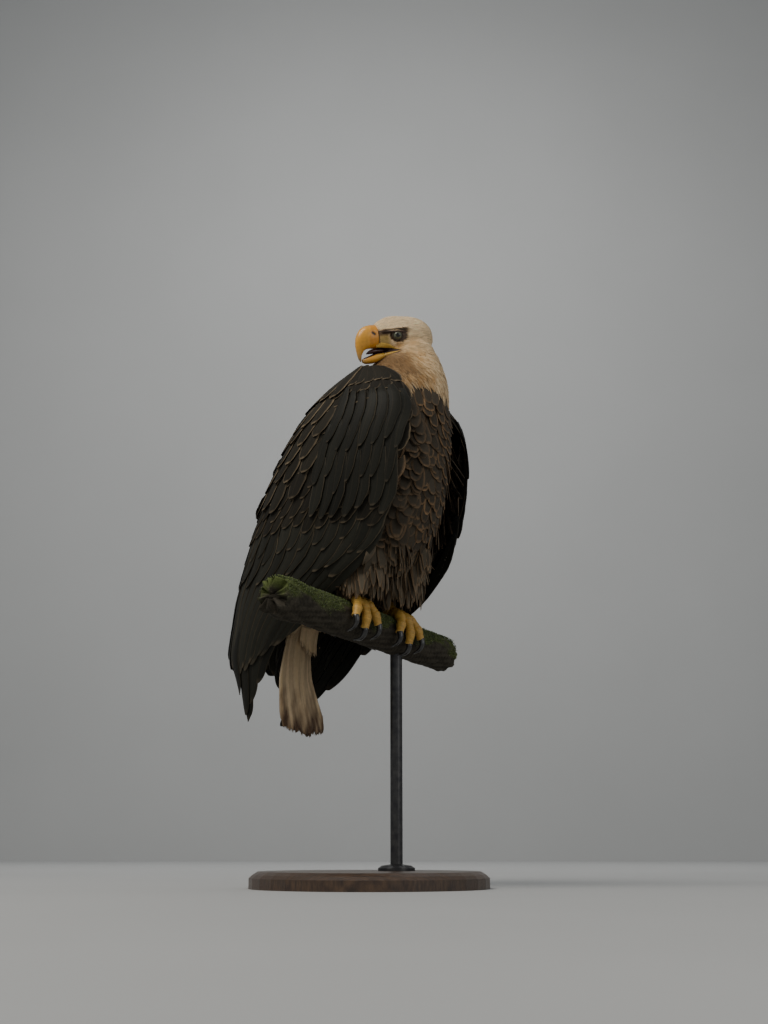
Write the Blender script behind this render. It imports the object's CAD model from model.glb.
# %% [markdown]
# # A still bald eagle on its limb
# The piece is a life-size adult bald eagle with its wings folded, its bill a little open and its
# head turned back over its right shoulder. It grips a cut, mossy limb, and a steel rod carries
# the limb over a round wooden base, as a museum would show it.
#
# A bird like this could be one sculpted mesh with painted feathers, or a bare body with particle
# feathers. Painted feathers go flat close up, and particles are lost when the model is handed on.
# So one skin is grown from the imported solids, and every feather is a thin closed vane of its own,
# laid along the body from a few rules: where it roots, which way it lies, how long it is.

# %% load the frame
import bmesh
import bpy
import math
import numpy as np
from itertools import product
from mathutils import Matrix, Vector
from mathutils.bvhtree import BVHTree


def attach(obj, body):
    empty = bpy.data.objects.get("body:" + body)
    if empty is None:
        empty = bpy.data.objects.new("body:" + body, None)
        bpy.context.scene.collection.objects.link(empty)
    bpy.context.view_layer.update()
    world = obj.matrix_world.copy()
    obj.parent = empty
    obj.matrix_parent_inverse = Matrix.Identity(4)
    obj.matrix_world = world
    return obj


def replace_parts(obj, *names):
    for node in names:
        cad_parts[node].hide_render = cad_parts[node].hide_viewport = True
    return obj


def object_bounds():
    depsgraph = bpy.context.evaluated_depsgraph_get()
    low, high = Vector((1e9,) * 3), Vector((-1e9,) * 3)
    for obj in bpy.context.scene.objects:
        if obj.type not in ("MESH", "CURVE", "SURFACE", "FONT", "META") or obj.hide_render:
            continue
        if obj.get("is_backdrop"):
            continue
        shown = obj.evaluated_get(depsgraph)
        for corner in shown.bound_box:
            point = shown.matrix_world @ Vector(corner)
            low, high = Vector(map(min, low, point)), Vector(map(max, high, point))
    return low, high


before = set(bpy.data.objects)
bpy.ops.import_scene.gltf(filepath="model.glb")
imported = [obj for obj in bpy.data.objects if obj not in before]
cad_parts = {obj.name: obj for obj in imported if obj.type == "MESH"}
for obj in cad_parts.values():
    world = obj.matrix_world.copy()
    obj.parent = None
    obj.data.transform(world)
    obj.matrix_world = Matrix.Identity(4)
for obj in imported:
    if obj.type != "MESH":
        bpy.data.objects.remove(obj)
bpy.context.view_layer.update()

# %% [markdown]
# ## Where things are
# The bird stands on a heading of its own, and its head on another. Two small changes of axes let
# every later step speak of ahead, side and up for the body, and forward, left and up for the
# head. Points travel as arrays, so thousands of feathers cost no more code than one.

# %% axes of the body and the head
HEADING = math.radians(-30)
AHEAD = np.array((math.cos(HEADING), math.sin(HEADING), 0))
SIDE = np.array((math.sin(HEADING), -math.cos(HEADING), 0))     # the bird's right
UP = np.array((0.0, 0.0, 1.0))
FEET = np.array((0, 0, 0.44))
HEAD_TURN, HEAD_DOWN, HEAD_ROLL = math.radians(-152), math.radians(13), math.radians(12)
HEAD_CENTRE = FEET + 0.078 * AHEAD + 0.468 * UP


def bird(ahead, side, up):
    """Body coordinates to the world: three numbers or three arrays."""
    ahead, side, up = np.broadcast_arrays(ahead, side, up)
    return FEET + ahead[..., None] * AHEAD + side[..., None] * SIDE + up[..., None] * UP


def in_bird(points):
    """World points to ahead, side and up."""
    away = points - FEET
    return away @ AHEAD, away @ SIDE, away @ UP


BEAK_WAY = np.array((math.cos(HEAD_TURN) * math.cos(HEAD_DOWN),
                     math.sin(HEAD_TURN) * math.cos(HEAD_DOWN), -math.sin(HEAD_DOWN)))
level = np.cross(UP, BEAK_WAY) / math.cos(HEAD_DOWN)
rise = np.cross(BEAK_WAY, level)
CHEEK_WAY = math.cos(HEAD_ROLL) * level - math.sin(HEAD_ROLL) * rise    # its left cheek
CROWN_WAY = math.cos(HEAD_ROLL) * rise + math.sin(HEAD_ROLL) * level


def skull(forward, left, up):
    """Head coordinates to the world."""
    forward, left, up = np.broadcast_arrays(forward, left, up)
    return (HEAD_CENTRE + forward[..., None] * BEAK_WAY + left[..., None] * CHEEK_WAY
            + up[..., None] * CROWN_WAY)


def in_skull(points):
    """World points to forward, left and up of the head."""
    away = points - HEAD_CENTRE
    return away @ BEAK_WAY, away @ CHEEK_WAY, away @ CROWN_WAY


def step(low, high, x):
    """Smooth 0 to 1 as x goes from low to high."""
    t = np.clip((x - low) / (high - low), 0, 1)
    return t * t * (3 - 2 * t)


def mix(a, b, t):
    """a to b as t goes 0 to 1; vectors and colours are mixed whole."""
    whole = (3,) in (np.shape(a)[-1:], np.shape(b)[-1:])
    return a + (b - a) * (np.asarray(t)[..., None] if whole else t)


def layered(base, *layers):
    """Lays values or colours over a base, each by its own amount from 0 to 1."""
    for layer, amount in layers:
        base = mix(base, layer, amount)
    return base


def between(low, x, high):
    return (x > low) & (x < high)


def unit(vectors):
    return vectors / np.maximum(np.linalg.norm(vectors, axis=-1, keepdims=True), 1e-9)


def square_to(vectors, axis):
    """Unit vectors turned square to an axis, or each to its own."""
    return unit(vectors - (vectors * axis).sum(-1, keepdims=True) * axis)


def length_of(*parts):
    return np.sqrt(sum(part ** 2 for part in parts))


def circle(count):
    """Angles once round."""
    return np.linspace(0, 2 * math.pi, count, endpoint=False)


print("skull centre", HEAD_CENTRE.round(3), "bill points", BEAK_WAY.round(3))

# %% [markdown]
# ## Camera, floor and light
# The camera stands low and looks up, as one does at a bird in a tree. The light is an even,
# overcast sky: one broad panel high on the left, a weaker one on the right and a grey surround.

# %% new objects
def put(name, data):
    """A new object in the scene."""
    new = bpy.data.objects.new(name, data)
    bpy.context.scene.collection.objects.link(new)
    return new


def finished(piece, made):
    """Gives a piece its material, smooth shading, the body it rides on and the record's slot."""
    piece.data.materials.append(made)
    piece.data.shade_smooth()
    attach(piece, "root")
    return piece


# %% camera
LOOKS_UP = 14.04                                    # degrees above level
camera = put("camera", bpy.data.cameras.new("camera"))
camera.location = (0.023, -2.2, 0.06)
camera.rotation_euler = (math.radians(90 + LOOKS_UP), 0, 0)
camera.data.sensor_fit = "VERTICAL"
camera.data.sensor_height = 24
camera.data.lens = 31.6
bpy.context.scene.camera = camera

# %% materials from a few nodes
def look(name, roughness=0.6, sockets=None):
    """A new Principled material; sockets holds plain values by socket name."""
    made = bpy.data.materials.new(name)
    made.use_nodes = True
    shader = made.node_tree.nodes["Principled BSDF"]
    shader.inputs["Roughness"].default_value = roughness
    for key, value in (sockets or {}).items():
        shader.inputs[key].default_value = value
    return made


def node(made, kind, **values):
    """Adds a node; values set its properties, or its inputs when given a number or a socket."""
    tree = made.node_tree
    new = tree.nodes.new("ShaderNode" + kind)
    for key, value in values.items():
        if hasattr(new, key) and not key[0].isupper():
            setattr(new, key, value)
            continue
        socket = new.inputs[int(key[1:])] if key[0] == "I" and key[1:].isdigit() else new.inputs[key]
        if isinstance(value, bpy.types.NodeSocket):
            tree.links.new(value, socket)
        else:
            socket.default_value = value
    return new


def maths(made, operation, *values):
    return node(made, "Math", operation=operation,
                **{f"I{i}": value for i, value in enumerate(values)}).outputs[0]


def weighed(made, *terms, plus=0.0):
    """Sum of values, each times its weight."""
    for value, weight in terms:
        plus = maths(made, "ADD", maths(made, "MULTIPLY", value, weight), plus)
    return plus


def ramp(made, factor, *stops):
    """Colour ramp through (place, colour) stops."""
    new = node(made, "ValToRGB", Fac=factor)
    band = new.color_ramp
    for place, colour in stops[2:]:
        band.elements.new(place)
    for element, (place, colour) in zip(band.elements, stops):
        element.position, element.color = place, (*colour, 1)
    return new.outputs[0]


def blend(made, factor, first, second, mode="MIX"):
    new = node(made, "MixRGB", blend_type=mode, Fac=factor)
    for key, value in (("Color1", first), ("Color2", second)):
        if isinstance(value, bpy.types.NodeSocket):
            made.node_tree.links.new(value, new.inputs[key])
        else:
            new.inputs[key].default_value = (*value, 1)
    return new.outputs[0]


def into(made, socket, value):
    made.node_tree.links.new(value, made.node_tree.nodes["Principled BSDF"].inputs[socket])


def grain(made, size, detail=4.0, stretch=(1, 1, 1)):
    """Noise in world metres: size is the width of its patches."""
    place = node(made, "Mapping", Vector=node(made, "NewGeometry").outputs["Position"],
                 Scale=[s / size for s in stretch]).outputs[0]
    return node(made, "TexNoise", Vector=place, Scale=1.0, Detail=detail).outputs["Fac"]


def bump(made, height, depth):
    into(made, "Normal", node(made, "Bump", Height=height, Distance=depth, Strength=1.0).outputs[0])


def mottled(made, field, dark):
    """Shows the piece's own painted tone, darkened where field is low."""
    tone = node(made, "VertexColor", layer_name="tone").outputs[0]
    shade = ramp(made, field, (0.3, dark), (0.7, (1, 1, 1)))
    into(made, "Base Color", blend(made, 1.0, tone, shade, "MULTIPLY"))


# %% floor, backdrop and lamps
def plane(name, corners, made):
    mesh = bpy.data.meshes.new(name)
    mesh.from_pydata(corners, [], [(0, 1, 2, 3)])
    mesh.materials.append(made)
    put(name, mesh)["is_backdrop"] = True


studio = look("studio grey", 0.9)
into(studio, "Base Color", ramp(studio, grain(studio, 0.8), (0.3, (0.385, 0.390, 0.385)),
                                (0.7, (0.405, 0.410, 0.405))))
plane("floor", [(-9, -9, 0), (9, -9, 0), (9, 9, 0), (-9, 9, 0)], studio)
plane("backdrop", [(-9, 5, -0.5), (9, 5, -0.5), (9, 5, 9), (-9, 5, 9)], studio)


def lamp(name, place, target, size, power, colour=(1, 1, 1)):
    data = bpy.data.lights.new(name, "AREA")
    data.shape, data.size, data.energy, data.color = "DISK", size, power, colour
    new = put(name, data)
    new.location = place
    new.rotation_euler = (Vector(target) - Vector(place)).to_track_quat("-Z", "Y").to_euler()


lamp("sky", (-1.6, -1.8, 3.4), (0, 0, 0.6), 2.6, 105, (1.0, 0.95, 0.88))
lamp("fill", (2.6, -2.2, 1.6), (0, 0, 0.6), 2.4, 18)
lamp("wall", (0, 2.2, 3.6), (0, 5, 1.2), 3.0, 66)
world = bpy.data.worlds.new("surround")
bpy.context.scene.world = world
world.use_nodes = True
world.node_tree.nodes["Background"].inputs[0].default_value = (0.62, 0.64, 0.66, 1)
world.node_tree.nodes["Background"].inputs[1].default_value = 0.55
print("camera, floor, backdrop and three lamps")

# %% [markdown]
# ## Markings
# Skin and feathers ask one function for their colour, so they can't disagree. It knows the
# bird's pattern: white head, neck and tail, dark brown body and wings, warmer breast and
# thighs. Edges between zones are ragged, as overlapping feather tips make them.

# %% colours, as linear light
CREAM = np.array((0.98, 0.705, 0.395))
CHEEK_BUFF = np.array((0.55, 0.310, 0.125))
THROAT_BUFF = np.array((0.24, 0.135, 0.058))
MANTLE = np.array((0.0195, 0.0170, 0.0118))
WING_BROWN = np.array((0.0180, 0.0176, 0.0128))
BREAST = np.array((0.056, 0.046, 0.033))
THIGH_BROWN = np.array((0.104, 0.086, 0.060))
PALE_EDGE = np.array((0.20, 0.150, 0.092))
RUSTY_EDGE = np.array((0.30, 0.180, 0.090))
BROW_BROWN = np.array((0.055, 0.030, 0.019))
LORE = np.array((0.46, 0.300, 0.085))
MOUTH_DARK = np.array((0.045, 0.016, 0.014))
TAIL_WHITE = np.array((0.56, 0.40, 0.235))
NECK_LINE = 0.374                                   # where white turns to brown, over the feet
# the side of both jaws: forward, chin edge, mouth floor, mouth roof, edge of the lores
JAW = np.array([(0.0430, -0.0252, -0.0232, -0.0226, -0.0205),
                (0.0480, -0.0280, -0.0233, -0.0198, -0.0168),
                (0.0540, -0.0308, -0.0233, -0.0178, -0.0126),
                (0.0605, -0.0340, -0.0236, -0.0168, -0.0098),
                (0.0672, -0.0372, -0.0239, -0.0159, -0.0078),
                (0.0745, -0.0400, -0.0246, -0.0152, -0.0062)])


def ripple(points, size, seed=0):
    """A smooth field of no fixed pattern, about -1 to 1."""
    picks = np.random.default_rng(seed)
    total = 0
    for k in range(6):
        way = unit(picks.normal(size=3)) * (2 * math.pi / size) * (0.7 + 0.2 * k)
        total = total + np.sin(points @ way + picks.uniform(0, 6))
    return total / 2.4


def white_part(points):
    """1 on head and neck, 0 on the body, with a ragged line between."""
    ahead, _, up = in_bird(points)
    line = NECK_LINE - 0.06 * (ahead - 0.055) + 0.005 * ripple(points, 0.03, 3)
    return step(-0.004, 0.004, up - line)


def markings(points):
    """Colour of skin and coat at world points."""
    ahead, side, up = in_bird(points)
    forward, _, rise = in_skull(points)
    brown = layered(BREAST, (MANTLE, step(0.08, -0.03, ahead)), (THIGH_BROWN, step(0.13, 0.08, up)),
                    (WING_BROWN, step(0.100, 0.125, np.abs(side)) * step(0.12, 0.06, ahead)))
    buff = step(0.012, -0.020, rise) * (0.75 + 0.25 * ripple(points, 0.02, 4))
    buff = buff * mix(0.36, 1.0, step(0.0, 0.034, forward))
    throat = step(-0.016, -0.036, rise) * step(-0.072, -0.046, rise) * step(0.024, 0.052, forward)
    white = layered(CREAM, (CHEEK_BUFF, buff), (THROAT_BUFF, throat), (TAIL_WHITE, step(0.05, 0.0, up)))
    tail = step(0.02, -0.01, up) * step(0.085, 0.06, np.abs(side)) * step(-0.05, -0.075, ahead)
    tone = mix(brown, white, np.maximum(white_part(points), tail))
    return tone * (1 + 0.10 * ripple(points, 0.05, 8)[..., None])


def face_tone(points, tone):
    """Bare and thinly feathered places of the face, over the plain markings."""
    forward, left, rise = in_skull(points)
    near = np.abs(left)
    lore = step(0.050, 0.058, forward) * step(-0.020, -0.012, rise) * step(0.016, 0.009, rise)
    lore_tone = mix(LORE, BROW_BROWN * 1.6, step(-0.001, 0.008, rise))
    brow = step(0.0040, 0.0062, rise) * step(0.0150, 0.0128, rise)
    brow = brow * step(0.019, 0.027, forward) * step(0.068, 0.062, forward) * step(0.012, 0.018, near)
    ring = length_of((forward - 0.0390) / 0.0150, (rise - 0.0025) / 0.0122)
    around = step(1.08, 0.88, ring) * step(0.012, 0.018, near)
    chin, edge = (np.interp(forward, JAW[:, 0], JAW[:, k]) for k in (1, 4))
    inside = step(JAW[0, 0] - 0.003, JAW[0, 0] + 0.001, forward) * step(-0.0290, -0.0270, rise)
    inside = inside * step(chin - 0.001, chin + 0.001, rise) * step(edge + 0.001, edge - 0.001, rise)
    return layered(tone, (lore_tone, lore * 0.92), (BROW_BROWN, np.maximum(brow * 0.9, around * 0.95)),
                   (MOUTH_DARK, inside))


# %% [markdown]
# ## The skin
# Flesh has no seams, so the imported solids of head, neck, trunk, thighs, wing arms and tail root
# are fused on a fine grid and then drawn in by the depth of the coat: a millimetre on the face,
# nearly a centimetre on the breast. Head and body feathers root on this skin alone, while the
# rows on the wings follow the wing solids.

# %% gather the flesh
FLESH = ("head", "neck", "trunk", "tail", "wing_right", "wing_left", "thigh_right", "thigh_left")
SKIN_GRID = 0.0023
ARM_ENDS, TAIL_ENDS = 0.03, -0.06                   # no flesh below these heights over the feet


def arrays(mesh):
    """Vertices, triangles and vertex normals of a mesh as arrays."""
    mesh.calc_loop_triangles()
    spots = np.empty(len(mesh.vertices) * 3)
    mesh.vertices.foreach_get("co", spots)
    corners = np.empty(len(mesh.loop_triangles) * 3, dtype=np.int32)
    mesh.loop_triangles.foreach_get("vertices", corners)
    ways = np.empty(len(mesh.vertices) * 3)
    mesh.vertices.foreach_get("normal", ways)
    return spots.reshape(-1, 3), corners.reshape(-1, 3), ways.reshape(-1, 3)


def tree_of(spots, corners):
    return BVHTree.FromPolygons([tuple(p) for p in spots.tolist()],
                                [tuple(c) for c in corners.tolist()])


solids = {name: arrays(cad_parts[name].data) for name in FLESH}
trees = {name: tree_of(spots, corners) for name, (spots, corners, _) in solids.items()}


def trimmed(name, low):
    """A node's solid above a height over the feet, closed where it is cut."""
    shape = bmesh.new()
    shape.from_mesh(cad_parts[name].data)
    cut = bmesh.ops.bisect_plane(shape, geom=shape.verts[:] + shape.edges[:] + shape.faces[:],
                                 plane_co=FEET + low * UP, plane_no=-UP, clear_outer=True)
    rim = [e for e in cut["geom_cut"] if isinstance(e, bmesh.types.BMEdge)]
    bmesh.ops.contextual_create(shape, geom=rim)
    bmesh.ops.triangulate(shape, faces=shape.faces[:])
    mesh = bpy.data.meshes.new(name)
    shape.to_mesh(mesh)
    shape.free()
    return arrays(mesh)


parts = [solids[name] for name in ("head", "neck", "trunk", "thigh_right", "thigh_left")]
parts += [trimmed("wing_right", ARM_ENDS), trimmed("wing_left", ARM_ENDS), trimmed("tail", TAIL_ENDS)]
starts = np.cumsum([0] + [len(spots) for spots, _, _ in parts])
flesh = bpy.data.meshes.new("skin")
flesh.from_pydata(np.concatenate([spots for spots, _, _ in parts]).tolist(), [],
                  np.concatenate([c + s for (_, c, _), s in zip(parts, starts)]).tolist())


def regrown(piece, voxel, softening=0):
    """Fuses all of an object's shapes on a fine grid and keeps the result as its mesh."""
    grow = piece.modifiers.new("grow", "REMESH")
    grow.mode, grow.voxel_size = "VOXEL", voxel
    if softening:
        soften = piece.modifiers.new("soften", "SMOOTH")
        soften.factor, soften.iterations = 0.5, softening
    bpy.context.view_layer.update()
    mesh = bpy.data.meshes.new_from_object(piece.evaluated_get(bpy.context.evaluated_depsgraph_get()))
    piece.modifiers.clear()
    piece.data = mesh
    return mesh


skin = put("skin", flesh)
grown = regrown(skin, SKIN_GRID)
print("fused skin:", len(grown.vertices), "points")

# %% draw it in by the depth of the coat
spots, corners, ways = arrays(grown)


def coat_depth(points):
    """How deep the coat is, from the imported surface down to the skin."""
    _, side, up = in_bird(points)
    forward, left, rise = in_skull(points)
    high = step(0.40, 0.42, up)
    head = step(0.060, 0.045, length_of(forward, left, rise)) + step(0.02, 0.05, forward) * high
    return layered(0.008, (0.006, step(0.10, 0.06, up)), (0.0055, step(0.33, 0.39, up)),
                   (0.0028, np.clip(head, 0, 1)), (0.0010, step(0.012, 0.036, forward) * high),
                   (0.0045, step(0.095, 0.11, np.abs(side))))


skin_tree = tree_of(spots, corners)
room = np.full(len(spots), 0.05)
for i, (point, way) in enumerate(zip(spots, ways)):
    hit = skin_tree.ray_cast(Vector(point - 0.0004 * way), Vector(-way), 0.05)
    if hit[3] is not None:
        room[i] = hit[3]
depth = np.minimum(coat_depth(spots), 0.33 * room)
edges = np.empty(len(grown.edges) * 2, dtype=np.int32)
grown.edges.foreach_get("vertices", edges)
edges = edges.reshape(-1, 2)
joins = np.bincount(edges.ravel(), minlength=len(spots))


def relaxed(values, rounds):
    """Averages a value over neighbouring points, a few times."""
    for _ in range(rounds):
        total = np.zeros_like(values)
        np.add.at(total, edges[:, 0], values[edges[:, 1]])
        np.add.at(total, edges[:, 1], values[edges[:, 0]])
        mean = total / (joins if values.ndim == 1 else joins[:, None])
        values = 0.5 * values + 0.5 * mean
    return values


depth = relaxed(depth, 6)
sunk = spots - ways * depth[:, None]
forward, left, rise = in_skull(sunk)
plain = step(0.046, 0.036, length_of(forward - 0.052, rise)) * step(0.40, 0.42, in_bird(sunk)[2])
sunk = mix(relaxed(sunk, 5), sunk, plain)

# the brow stands out over the eye
forward, left, rise = in_skull(sunk)
out = np.sign(left)[:, None] * CHEEK_WAY
shelf = (np.exp(-((rise - 0.0125 - 0.05 * (0.045 - forward)) / 0.0032) ** 2)
         * step(0.012, 0.030, forward) * step(0.070, 0.058, forward) * step(0.010, 0.018, np.abs(left)))
sunk = sunk + out * (0.0030 * shelf)[:, None]
grown.vertices.foreach_set("co", sunk.ravel())
grown.update()
spots, corners, ways = arrays(grown)
skin_tree = tree_of(spots, corners)
print("coat depth from", round(depth.min() * 1000, 1), "to", round(depth.max() * 1000, 1), "mm")


# %% colour the skin
def paint(mesh, colours):
    """A tone for every vertex, alpha 1."""
    layer = mesh.color_attributes.new("tone", "FLOAT_COLOR", "POINT")
    full = np.ones((len(mesh.vertices), 4))
    full[:, :3] = np.clip(colours, 0, 1).reshape(-1, 3)
    layer.data.foreach_set("color", full.ravel())


paint(grown, face_tone(spots, markings(spots)) * 0.8)
skin_look = look("skin", 0.7)
mottled(skin_look, grain(skin_look, 0.004), (0.72, 0.72, 0.72))
bump(skin_look, grain(skin_look, 0.0012, 6), 0.0006)
grown.materials.clear()
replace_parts(finished(skin, skin_look), *FLESH)

# %% [markdown]
# ## One feather, many times
# A feather is a closed, thin, cambered vane: a grid of points on top, another below, joined round
# the rim. All feathers of a kind are made at once from arrays. Their colour is the marking at
# the root, changed along the vane only on the face and the tail. The material adds shaft, barbs
# and the pale worn edge from each vane's own map.
# For baking, every vane also owns a small patch at its root's place on an unwrap of the skin.

# %% the feather material
def eased(made, value, low, high):
    """Smooth 0 to 1 as a socket's value goes from low to high."""
    return node(made, "MapRange", interpolation_type="SMOOTHSTEP", Value=value,
                **{"From Min": low, "From Max": high}).outputs[0]


def feather_look(name, roughness, barb_depth, edge_colour, rim_from=0.80, soft=0.0):
    """Tone from the vane's colour; its alpha says how pale the worn edge is, rim_from how broad."""
    made = look(name, roughness, {
        "Specular IOR Level": 0.12, "Sheen Weight": 0.02, "Sheen Roughness": 0.5,
        "Subsurface Weight": soft, "Subsurface Scale": 0.004, "Subsurface Radius": (1.0, 0.8, 0.6)})
    tone = node(made, "VertexColor", layer_name="tone")
    place = node(made, "Attribute", attribute_name="vane").outputs["Vector"]
    u, s, chance = node(made, "SeparateXYZ", Vector=place).outputs
    out = maths(made, "ABSOLUTE", u)
    barbs = maths(made, "SINE", weighed(made, (s, 420.0), (out, -70.0)))
    wear = grain(made, 0.006, 3)
    rim = maths(made, "MAXIMUM", eased(made, out, rim_from, 0.95),
                eased(made, s, 0.72 + 0.28 * rim_from, 0.985))
    rim = maths(made, "MULTIPLY", rim, maths(made, "ADD", wear, 0.45))
    rim = maths(made, "MULTIPLY", maths(made, "MINIMUM", rim, 1.0), tone.outputs["Alpha"])
    base = blend(made, rim, tone.outputs["Color"], tuple(edge_colour))
    shaft = maths(made, "LESS_THAN", out, 0.045)
    base = blend(made, maths(made, "MULTIPLY", shaft, 0.30), base, tuple(0.25 * edge_colour))
    light = maths(made, "MULTIPLY", weighed(made, (barbs, 0.025), (chance, 0.30), plus=0.82),
                  weighed(made, (wear, 0.3), plus=0.86))
    grey = node(made, "CombineXYZ", X=light, Y=light, Z=light).outputs[0]
    into(made, "Base Color", blend(made, 1.0, base, grey, "MULTIPLY"))
    bump(made, weighed(made, (barbs, 0.5), (shaft, 1.5)), barb_depth)
    return made


SOFT_LOOK = feather_look("soft feather", 0.75, 0.00006, PALE_EDGE, 0.72)
STIFF_LOOK = feather_look("stiff feather", 0.55, 0.00003, PALE_EDGE)
RUSTY_LOOK = feather_look("rusty feather", 0.78, 0.00006, RUSTY_EDGE, 0.50)
WHITE_LOOK = feather_look("white feather", 0.80, 0.00004, CREAM, soft=0.3)
picks = np.random.default_rng(11)


# %% places on the baking unwrap
def body_patch(points):
    """Head and body on a cylinder round the bird: turn across, height up."""
    ahead, side, up = in_bird(points)
    turn = np.arctan2(side, ahead - 0.03) / (2 * math.pi) + 0.5
    forward, left, rise = in_skull(points)
    on_head = (length_of(forward, left, rise) < 0.062) & (up > 0.415)
    around = np.arctan2(left, rise) / (2 * math.pi) + 0.5
    body = np.stack([0.01 + 0.48 * turn, 0.01 + 0.60 * np.clip((up + 0.04) / 0.50, 0, 1)], -1)
    head = np.stack([0.01 + 0.48 * around, 0.66 + 0.32 * np.clip((forward + 0.045) / 0.12, 0, 1)], -1)
    return np.where(on_head[:, None], head, body)


# %% the vane maker
MOST_TRIANGLES = 200000
OUTLINES = {                                        # half width along a vane, from root to tip
    "round": lambda s: np.where(s < 0.55, 0.50 + 0.50 * np.sin(np.minimum(s / 0.55, 1) * math.pi / 2),
                                np.sqrt(np.maximum(1 - ((s - 0.55) / 0.46) ** 2, 0.0))),
    "soft": lambda s: (0.50 + 0.50 * step(0, 0.35, s)) * np.maximum(1 - s ** 2.6, 0) ** 0.75 + 0.04,
    "lance": lambda s: (0.55 + 0.45 * step(0, 0.3, s)) * np.maximum(1 - s, 0) ** 0.62 + 0.05,
    "blade": lambda s: (0.50 + 0.50 * step(0, 0.25, s)) * np.sqrt(np.maximum(
        1 - np.maximum((s - 0.86) / 0.145, 0) ** 2.2, 0.0)),
}


def rows_of(count):
    """Places along a vane, closer together towards its tip."""
    return np.sin(np.linspace(0, 1, count) * math.pi / 2) ** 0.9


PATCH_HALF = 0.0014                                 # half of a vane's patch on the baking map


def vanes(name, grid, normals, tone, edge, patch, made, thick=0.0005, slot="brown_feather",
          soften=0.4):
    """Closed vanes from grids of points (vane, row, column); their normals, tones and patches."""
    count, rows, columns = grid.shape[:3]
    across, down = np.diff(grid, axis=2)[:, 1:], np.diff(grid, axis=1)[:, :, 1:]
    if (np.cross(across, down) * normals[:, 1:, 1:]).sum() < 0:
        grid, normals = grid[:, :, ::-1], normals[:, :, ::-1]
    u = np.linspace(-1, 1, columns)
    s = rows_of(rows)
    swell = (thick * (1 - u ** 2))[None, None, :, None] * normals
    top = (grid + swell).reshape(count, -1, 3)
    low = (grid - 0.6 * swell)[:, 1:-1, 1:-1].reshape(count, -1, 3)
    points = np.concatenate([top, low], 1)
    upper = np.arange(rows * columns).reshape(rows, columns)
    lower = upper.copy()
    lower[1:-1, 1:-1] = rows * columns + np.arange((rows - 2) * (columns - 2)).reshape(rows - 2, -1)
    front = np.stack([upper[:-1, :-1], upper[:-1, 1:], upper[1:, 1:], upper[1:, :-1]], -1)
    back = np.stack([lower[:-1, :-1], lower[1:, :-1], lower[1:, 1:], lower[:-1, 1:]], -1)
    quads = np.concatenate([front, back]).reshape(1, -1, 4)
    quads = (quads + (np.arange(count) * points.shape[1])[:, None, None]).reshape(-1, 4)
    mesh = bpy.data.meshes.new(name)
    mesh.vertices.add(count * points.shape[1])
    mesh.vertices.foreach_set("co", points.ravel())
    mesh.loops.add(len(quads) * 4)
    mesh.loops.foreach_set("vertex_index", quads.ravel().astype(np.int32))
    mesh.polygons.add(len(quads))
    mesh.polygons.foreach_set("loop_start", np.arange(len(quads), dtype=np.int32) * 4)
    mesh.update(calc_edges=True)

    def on_points(values):
        """Values on the grid, carried to top and bottom points."""
        values = np.broadcast_to(values, (count, rows, columns, values.shape[-1]))
        return np.concatenate([values.reshape(count, rows * columns, -1),
                               values[:, 1:-1, 1:-1].reshape(count, -1, values.shape[-1])], 1)

    us, ss = np.meshgrid(u, s)
    chance = picks.random(count)
    local = np.stack(np.broadcast_arrays(us[None], ss[None], chance[:, None, None]), -1)
    layer = mesh.attributes.new("vane", "FLOAT_VECTOR", "POINT")
    layer.data.foreach_set("vector", on_points(local).ravel())
    full = np.empty((count, rows, columns, 4))
    full[..., :3] = np.clip(tone, 0, 1)
    full[..., 3] = np.reshape(edge, (-1, 1, 1))
    layer = mesh.color_attributes.new("tone", "FLOAT_COLOR", "POINT")
    layer.data.foreach_set("color", on_points(full).ravel())
    spread = PATCH_HALF * np.stack([us, 2 * ss - 1], -1)[None] + patch[:, None, None]
    flat = on_points(spread).reshape(-1, 2)
    mesh.uv_layers.new(name="OFBake").data.foreach_set("uv", flat[quads.ravel()].ravel())
    finished(put(name, mesh), made)
    # soft feathers are shaded nearly as the body under them, so their edges melt together
    own = np.empty(count * points.shape[1] * 3, dtype=np.float32)
    mesh.vertex_normals.foreach_get("vector", own)
    lie = on_points(normals)
    lie[:, rows * columns:] *= -1
    shown = unit(own.reshape(lie.shape) * (1 - soften) + lie * soften)
    mesh.normals_split_custom_set_from_vertices(shown.reshape(-1, 3).tolist())
    triangles = len(quads) * 2
    print(f"{name}: {count} feathers, {triangles} triangles")
    assert triangles < MOST_TRIANGLES, name


def straight_grid(line, normals, half, outline, columns, camber):
    """Vane grids round centre lines (vane, row); edges bend down by camber of the half width."""
    normals = np.broadcast_to(normals, line.shape)
    across = unit(np.cross(np.gradient(line, axis=1), normals))[:, :, None]
    normals = normals[:, :, None]
    width = np.reshape(half, (-1, 1)) * np.maximum(OUTLINES[outline](rows_of(line.shape[1])), 0.09)
    width, u = width[:, :, None, None], np.linspace(-1, 1, columns)[:, None]
    grid = line[:, :, None] + across * width * u - normals * camber * width * u ** 2
    return grid, np.broadcast_to(normals, grid.shape)


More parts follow.
